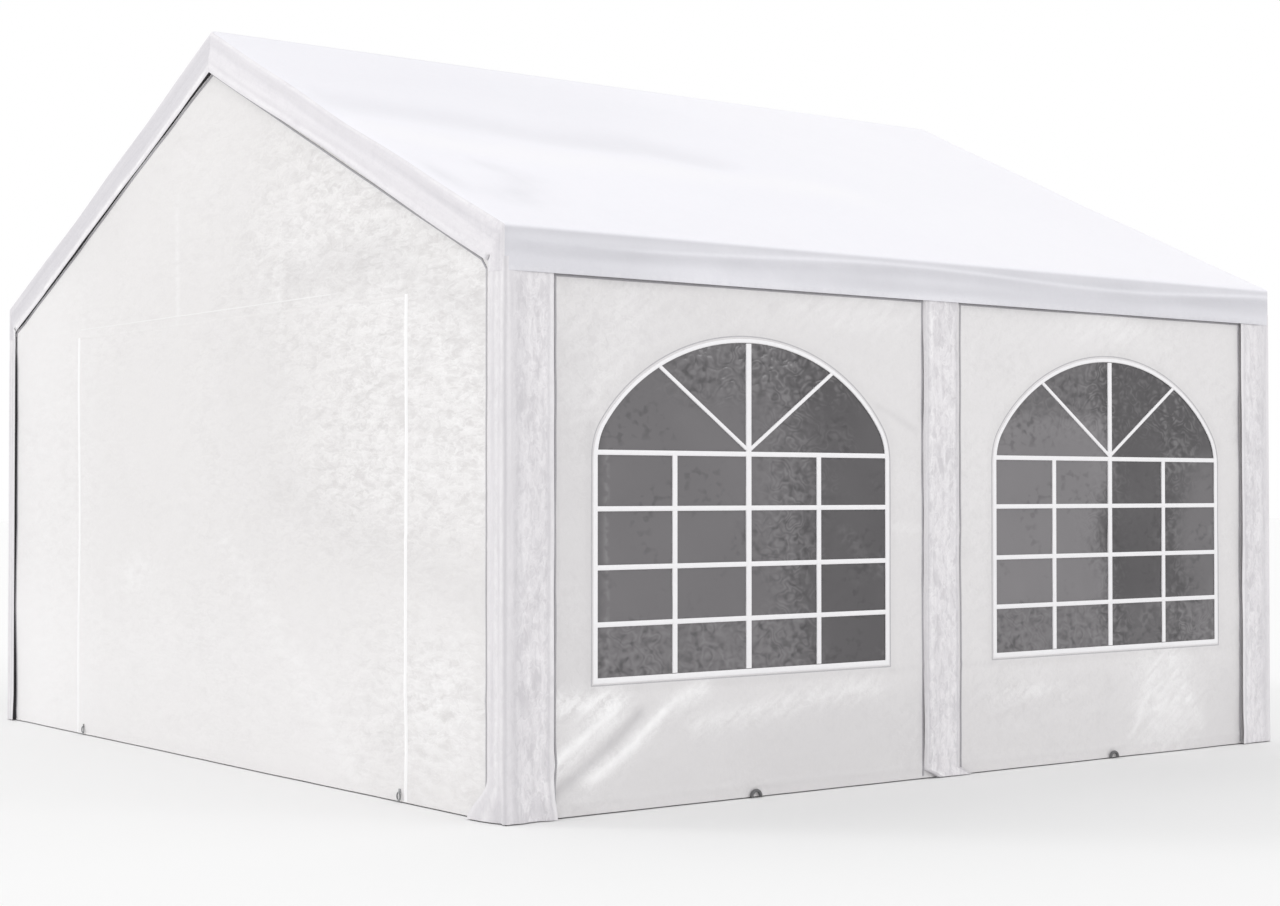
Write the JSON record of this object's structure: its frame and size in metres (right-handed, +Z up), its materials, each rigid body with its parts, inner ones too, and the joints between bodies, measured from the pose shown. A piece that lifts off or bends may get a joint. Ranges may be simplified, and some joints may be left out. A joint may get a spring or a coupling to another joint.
{
  "type": "marquee tent",
  "caption": "Ridged party tent on a steel tube frame, with arched window walls on its long sides and zipped doors in its gable ends.",
  "frame": {"origin": "middle of the ground plan, at the underside of the foot plates", "axes": "+Z up, +Y along the ridge, +X towards the window side that the picture shows; the door ends face -Y and +Y"},
  "size_m": [4.3, 4.06, 2.9819],
  "materials": {
    "roof_fabric": "coated polyethylene sheet, satin",
    "wall_fabric": "woven polyethylene sheet, satin",
    "window_pvc": "clear soft film, glossy and rippled",
    "frame_steel": "galvanised tube"
  },
  "bodies": {
    "root": {"corner_sleeve_back_left": "roof_fabric", "corner_sleeve_back_right": "roof_fabric", "corner_sleeve_front_left": "roof_fabric", "corner_sleeve_front_right": "roof_fabric", "door_flap_back": "wall_fabric", "door_flap_front": "wall_fabric", "eave_connector_back_left": "frame_steel", "eave_connector_back_right": "frame_steel", "eave_connector_front_left": "frame_steel", "eave_connector_front_right": "frame_steel", "eave_connector_middle_left": "frame_steel", "eave_connector_middle_right": "frame_steel", "eave_rail_back_left": "frame_steel", "eave_rail_back_right": "frame_steel", "eave_rail_front_left": "frame_steel", "eave_rail_front_right": "frame_steel", "gable_skirt_back": "roof_fabric", "gable_skirt_front": "roof_fabric", "gable_wall_back": "wall_fabric", "gable_wall_front": "wall_fabric", "leg_back_left": "frame_steel", "leg_back_right": "frame_steel", "leg_front_left": "frame_steel", "leg_front_right": "frame_steel", "leg_middle_left": "frame_steel", "leg_middle_right": "frame_steel", "mid_sleeve_left": "roof_fabric", "mid_sleeve_right": "roof_fabric", "rafter_back_left": "frame_steel", "rafter_back_right": "frame_steel", "rafter_front_left": "frame_steel", "rafter_front_right": "frame_steel", "rafter_middle_left": "frame_steel", "rafter_middle_right": "frame_steel", "ridge_connector_back": "frame_steel", "ridge_connector_front": "frame_steel", "ridge_connector_middle": "frame_steel", "ridge_rail_back": "frame_steel", "ridge_rail_front": "frame_steel", "roof_cover_left": "roof_fabric", "roof_cover_right": "roof_fabric", "window_pane_left_back": "window_pvc", "window_pane_left_front": "window_pvc", "window_pane_right_back": "window_pvc", "window_pane_right_front": "window_pvc", "window_wall_left_back": "wall_fabric", "window_wall_left_front": "wall_fabric", "window_wall_right_back": "wall_fabric", "window_wall_right_front": "wall_fabric"}
  },
  "joints": []
}
